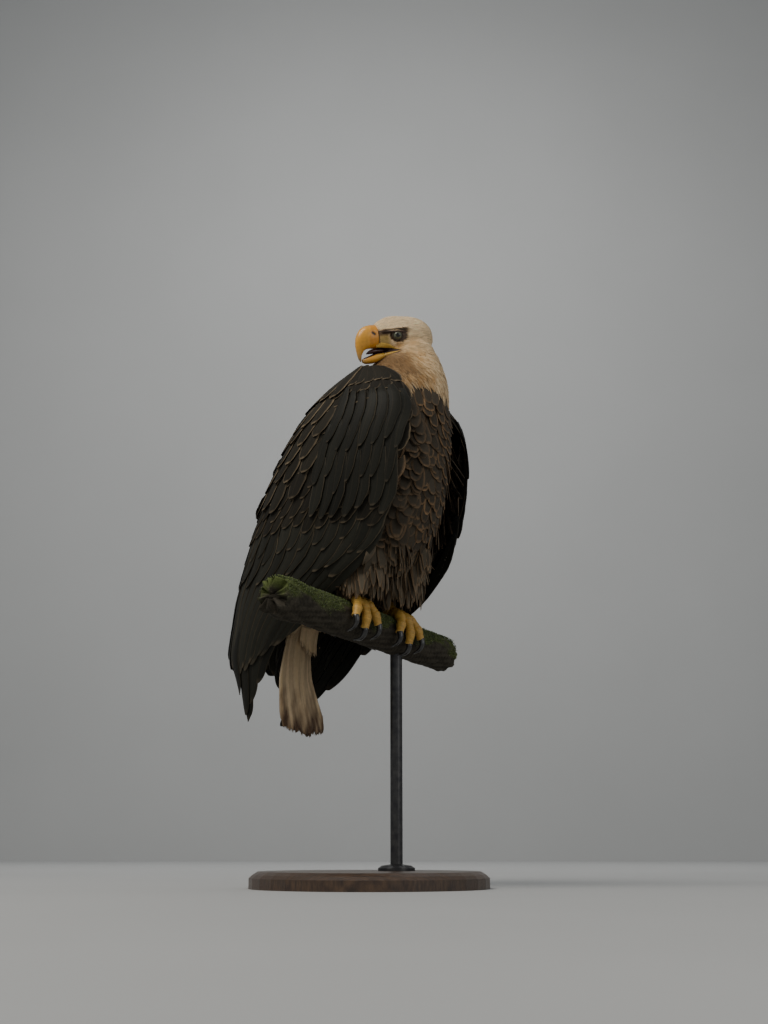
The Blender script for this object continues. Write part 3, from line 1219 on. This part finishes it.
# %% bill
# sections from base to tip: forward and up of the top edge, of the bottom edge, half width
UPPER_BILL = [(0.0706, 0.0230, 0.0706, -0.0158, 0.0146), (0.079, 0.0231, 0.078, -0.0158, 0.0137),
              (0.089, 0.0213, 0.086, -0.0165, 0.0125), (0.0982, 0.0152, 0.0905, -0.0175, 0.0105),
              (0.1048, 0.0052, 0.0935, -0.0190, 0.0083), (0.1076, -0.0070, 0.0955, -0.0215, 0.0062),
              (0.1070, -0.0202, 0.0985, -0.0270, 0.0041), (0.1048, -0.0312, 0.1000, -0.0338, 0.0024),
              (0.1022, -0.0366, 0.1008, -0.0371, 0.0007)]
jaw_half = face_out(JAW[:, 0], JAW[:, 1:3].mean(1), 1) + 0.0016
LOWER_BILL = [(f, floor, f, chin, half) for (f, chin, floor, _, _), half in zip(JAW[:-1], jaw_half)]
LOWER_BILL += [(0.0745, -0.0246, 0.0745, -0.0400, 0.0120), (0.0808, -0.0266, 0.0803, -0.0409, 0.0105),
               (0.0878, -0.0288, 0.0863, -0.0413, 0.0085), (0.0940, -0.0310, 0.0922, -0.0410, 0.0058),
               (0.0984, -0.0330, 0.0973, -0.0392, 0.0024)]
bill_look = painted("bill horn", 0.34, {"Specular IOR Level": 0.5, "Coat Weight": 0.25,
                                        "Coat Roughness": 0.25}, 0.004, 0.00010, 0.10, 3)
BILL_YELLOW, CERE = np.array(((0.72, 0.335, 0.032), (0.68, 0.275, 0.020)))
BILL_TIP, NOSTRIL = np.array(((0.40, 0.25, 0.10), (0.012, 0.008, 0.006)))


def bill(sections, count, sides, lip):
    """Rings in skull coordinates: (forward, left, up) arrays and the part of the length."""
    x = np.linspace(0, 1, count)
    curve = read(np.linspace(0, 1, len(sections)), sections, x)
    top, low, half = curve[:, None, 0:2], curve[:, None, 2:4], curve[:, 4:]
    c, s = (np.sign(w) * np.abs(w) ** (2 / 2.2) for w in (np.cos(circle(sides)), np.sin(circle(sides))))
    forward, up = np.moveaxis((top + low) / 2 + (top - low) / 2 * c[:, None], -1, 0)
    flare = 1 + lip * np.exp(-((c + 0.80 * np.sign(lip)) / 0.16) ** 2)
    return forward, half * s * flare, up, x[:, None] + 0 * c


forward, left, rise, part = bill(UPPER_BILL, 150, 120, 0.05)
near = np.abs(left)
f, r = forward - 0.0785, rise - 0.0080              # the nostril is a leaning slit
slit = np.exp(-((0.80 * f + 0.60 * r) / 0.0042) ** 4 - ((0.80 * r - 0.60 * f) / 0.0021) ** 2)
slit = slit * step(0.006, 0.008, near)
past_cere = forward - (0.0845 + 0.0035 * np.cos(rise * 130) - 0.10 * (rise + 0.016) * (rise < 0.01))
on_cere = step(0.0012, -0.0012, past_cere)
left = left + np.sign(left) * (0.0004 * on_cere - 0.0012 * slit) * step(0.0, 0.004, near)
points = skull(forward, left, rise + 0.0003 * on_cere * (rise > 0.012))
colours = layered(CERE, (BILL_YELLOW, step(-0.001, 0.002, past_cere)),
                  (BILL_TIP, step(0.62, 1.0, part)), (NOSTRIL, np.clip(slit * 1.3, 0, 1)))
colours = colours * (1 + 0.05 * ripple(points, 0.008, 4)[..., None])
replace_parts(shell("upper_bill", points, colours, bill_look), "bill_upper")
forward, left, rise, part = bill(LOWER_BILL, 110, 80, -0.03)
points = skull(forward, left, rise)
inner = step(0.80, 0.66, np.abs(left) / np.abs(left).max(1, keepdims=True))
inner = inner * (rise > rise.mean(1, keepdims=True)) * step(0.97, 0.90, part)
colours = layered(GAPE, (BILL_YELLOW, step(0.4, 0.7, part)), (BILL_TIP, step(0.80, 1.0, part) * 0.5),
                  (MOUTH_DARK, inner))
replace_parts(shell("lower_bill", points, colours, bill_look), "bill_lower")

# %% tongue
wet_look = painted("wet mouth", 0.25, {"Coat Weight": 0.2, "Coat Roughness": 0.2}, 0.0009, 0.0002)
points = skull((0.050, 0.060, 0.070, 0.080, 0.089), 0.0, (-0.0205, -0.0202, -0.0200, -0.0212, -0.0240))
rings = tube_rings(points, (0.0060, 0.0070, 0.0066, 0.0056, 0.0014), CHEEK_WAY, 50, 32, 0.62)
across = (rings - rings.mean(1)[:, None]) @ CHEEK_WAY
rings = rings - (0.0004 * np.exp(-(across / 0.0008) ** 2))[..., None] * CROWN_WAY
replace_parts(shell("tongue_flesh", rings, MOUTH_DARK * 1.6, wet_look), "tongue")

# %% [markdown]
# ## Feet and claws
# Each foot is grown as one skin from its shank and four toes, wrapped round the limb, with
# plate-like scales across the top of every toe. The claws are separate horn, curved into the bark.

# %% round the limb
PERCH_R, TOE_R, TARSUS_R, FEET_SPREAD = 0.029, 0.0088, 0.0088, 0.056
RUN = unit(np.array((0.62, 0.78, -0.10)))
PERCH_AXIS = FEET - UP * PERCH_R / math.sqrt(1 - RUN[2] ** 2)
FRONT = square_to(AHEAD, RUN)
TOP = np.cross(RUN, FRONT)
TOP = TOP if TOP[2] > 0 else -TOP


def round_limb(along, turn, radius):
    """Places round the limb: along it, turned from its top towards its front, out from its axis."""
    along, turn, radius = np.broadcast_arrays(along, turn, radius)
    return (PERCH_AXIS + along[..., None] * RUN
            + (radius * np.cos(turn))[..., None] * TOP + (radius * np.sin(turn))[..., None] * FRONT)


def off_limb(points):
    """Unit directions straight out from the limb's axis."""
    return square_to(points - PERCH_AXIS, RUN)


# toe: how far it splays along the limb, where it starts and ends round it in degrees
TOES = {"inner": (-0.028, 8, 96), "middle": (0.002, 8, 114), "outer": (0.030, 8, 94),
        "hind": (-0.004, -10, -84)}
SEAT = PERCH_R + TOE_R + 0.0006
foot_look = painted("scaled foot skin", 0.5, {"Specular IOR Level": 0.45, "Subsurface Weight": 0.05},
                    0.0014, 0.0003, 0.25)
claw_look = painted("claw horn", 0.25, {"Specular IOR Level": 0.6, "Coat Weight": 0.3},
                    0.003, 0.00005, 0.3)
FOOT_YELLOW, CLAW_BLACK = np.array((0.50, 0.29, 0.055)), np.array((0.018, 0.017, 0.016))
FOOT_GRID, CLAW_REACH = 0.0009, math.radians(46)

# %% feet and claws
def toe_line(sign, toe, part, radius):
    """A line of one toe of the right (1) or left (-1) foot, at parts of its length."""
    splay, start, end = TOES[toe]
    along = -sign * (FEET_SPREAD + splay * np.clip(part, 0, 1) ** 0.8)
    return round_limb(along, np.radians(start + (end - start) * part), radius)


for side, sign in (("right", 1), ("left", -1)):
    heel, sole = bird(-0.020, sign * 0.052, 0.075), round_limb(-sign * FEET_SPREAD, 0, SEAT + 0.003)
    shapes = [tube_rings((heel, mix(heel, sole, 0.5), sole),
                         (TARSUS_R, TARSUS_R * 0.92, TARSUS_R * 1.2), SIDE, 20, 24)]
    part = np.linspace(-0.06, 1, 90)
    down = np.maximum(part, 0)
    radii = TOE_R * (1 + 0.10 * np.sin(6 * math.pi * down)) * (1 - 0.22 * down)
    groove = np.abs(np.sin(part * math.pi * 9))[:, None] < 0.35      # between two plates
    upper_side = np.clip(np.sin(circle(28)), 0, 1) ** 0.7
    wide = radii[:, None] * (1 - 0.09 * upper_side * groove + 0.02 * upper_side)
    for toe in TOES:
        line = toe_line(sign, toe, part, SEAT + 0.0012)
        across = square_to(RUN, unit(np.gradient(line, axis=0)))
        shapes.append(mix(line[:, None], rings_round(line, across, off_limb(line), 28), wide))
    foot = put("foot_skin_" + side, ring_mesh("foot_skin_" + side, shapes))
    regrown(foot, FOOT_GRID, 3)
    paint(foot.data, FOOT_YELLOW * (1 + 0.12 * ripple(arrays(foot.data)[0], 0.006, 9)[:, None]))
    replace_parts(finished(foot, foot_look), "foot_" + side)
    for toe, (_, start, end) in TOES.items():
        reach = math.radians(abs(end - start))
        first = 1 - 0.0025 / (reach * (PERCH_R + TOE_R))
        t = np.linspace(0, 1, 36)
        lift = 0.0022 + 0.0062 * np.sin(math.pi * np.minimum(t * 1.15, 1)) - 0.0042 * t
        line = toe_line(sign, toe, first + CLAW_REACH * t / reach, PERCH_R + TOE_R + lift)
        rings = tube_rings(line, 0.0052 * (1 - t) ** 0.75 + 0.0005, RUN, 50, 24)
        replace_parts(shell(f"talon_{side}_{toe}", rings, CLAW_BLACK, claw_look),
                    f"claw_{side}_{toe}")
print("two feet and eight claws")

# %% [markdown]
# ## Limb and stand
# The limb is a cut length of living branch: furrowed bark, an old knot, a mossy upper side and
# a torn, mossy stub at its high end. The base is turned wood and the rod blackened steel.

# %% limb
NEAR_END, FAR_END = -0.235, 0.205
BARK, MOSS = np.array((0.050, 0.043, 0.031)), np.array((0.13, 0.165, 0.045))


def knot(along):
    """How much thicker the limb is at its old knot."""
    return 0.10 * np.exp(-((along + 0.205) / 0.022) ** 2)


along = np.concatenate([[NEAR_END] * 2, np.linspace(NEAR_END, FAR_END, 260), [FAR_END] * 2])[:, None]
shrink = np.ones(along.shape)
shrink[[0, 1, -2, -1], 0] = (0.30, 0.72, 0.80, 0.35)
turn = circle(120)
away = np.maximum(np.abs(along) - 0.115, 0)
uneven = 0.05 * away / 0.1 * np.sin(3 * turn + 40 * along) * np.cos(22 * along + turn)
radius = PERCH_R * (1 + uneven + knot(along))
plain = round_limb(along, turn, radius)
grooves = np.stack(np.broadcast_arrays(along * 0.28, np.cos(turn) * 0.03, np.sin(turn) * 0.03), -1)
furrow = ripple(grooves, 0.011, 31) + 0.5 * ripple(plain, 0.007, 32)
under_feet = np.exp(-(np.maximum(np.abs(along) - 0.09, 0) / 0.02) ** 2)
rough = 0.0012 * np.clip(furrow, -1.2, 0.9) * (1 - 0.45 * under_feet)
at_end = np.minimum(along - NEAR_END, FAR_END - along) < 0.0005
broken = 0.006 * ripple(plain, 0.016, 33) * at_end
limb_points = round_limb(along + broken, turn, (radius + rough - 0.0004) * shrink)
mossy = off_limb(limb_points)[..., 2] + 0.30 * ripple(limb_points, 0.035, 34)
colours = layered(BARK * 0.75, (BARK * 1.25, step(-0.8, 0.6, furrow)),
                  (MOSS, step(-0.15, 0.60, mossy) * 0.85))
colours[[0, -1]] = BARK
bark_look = painted("bark", 0.9, {"Specular IOR Level": 0.2}, 0.0022, 0.0012, 0.45, 8)
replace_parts(shell("mossy_limb", limb_points, colours, bark_look), "perch")

# %% moss: small leafy tufts, thickest on top and at the torn end
rng = np.random.default_rng(41)
along, turn = rng.uniform((NEAR_END + 0.001, -1.9), (FAR_END - 0.001, 1.9), (26000, 2)).T
bed = round_limb(along, turn, PERCH_R * (1 + knot(along)) + 0.0004)
chance = step(-0.10, 0.70, off_limb(bed)[:, 2] + 0.40 * ripple(bed, 0.035, 34))
bed = bed[rng.random(len(bed)) < 0.66 * chance]
way = unit(off_limb(bed) + 0.7 * rng.normal(size=bed.shape) + 0.2 * UP)
tall = rng.uniform(0.0018, 0.0044, len(bed))
line = bed[:, None] + way[:, None] * tall[:, None, None] * rows_of(3)[None, :, None]
lean = unit(np.cross(way, rng.normal(size=bed.shape)))
tone = mix(MOSS * 0.6, MOSS * 1.5, rng.random(len(bed)))
patch = rng.uniform(0.02, 0.98, (len(bed), 2))
moss_look = look("moss", 0.85, {"Specular IOR Level": 0.2, "Sheen Weight": 0.2})
mottled(moss_look, grain(moss_look, 0.012), (0.65, 0.7, 0.6))
bump(moss_look, grain(moss_look, 0.0008), 0.0003)
vanes("moss", *straight_grid(line, lean[:, None], 0.0007, "round", 3, 0.3), tone[:, None, None], 0.0,
      patch, moss_look, 0.0003, "bark")

# %% base and rod
wood = look("stained wood", 0.38, {"Coat Weight": 0.25, "Coat Roughness": 0.3})
rings_in = grain(wood, 0.016, 5, (1, 9, 1))
fine = grain(wood, 0.0016, 6, (1, 14, 1))
mixed = weighed(wood, (rings_in, 0.7), (fine, 0.3))
into(wood, "Base Color", ramp(wood, mixed, (0.36, (0.020, 0.011, 0.006)), (0.50, (0.052, 0.028, 0.014)),
                              (0.64, (0.085, 0.048, 0.024))))
bump(wood, fine, 0.00025)
steel = look("blackened steel", 0.38, {"Metallic": 1.0})
into(steel, "Base Color", ramp(steel, grain(steel, 0.010, 6), (0.3, (0.045, 0.045, 0.048)),
                               (0.7, (0.085, 0.083, 0.080))))
into(steel, "Roughness", weighed(steel, (grain(steel, 0.004, 4, (1, 1, 0.1)), 0.25), plus=0.28))
bump(steel, grain(steel, 0.0012, 3, (1, 1, 0.08)), 0.00003)
for name, made in (("stand_base", wood), ("stand_rod", steel)):
    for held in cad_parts[name].material_slots:
        held.material = made


# %% keep the sizes and close
low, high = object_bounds()
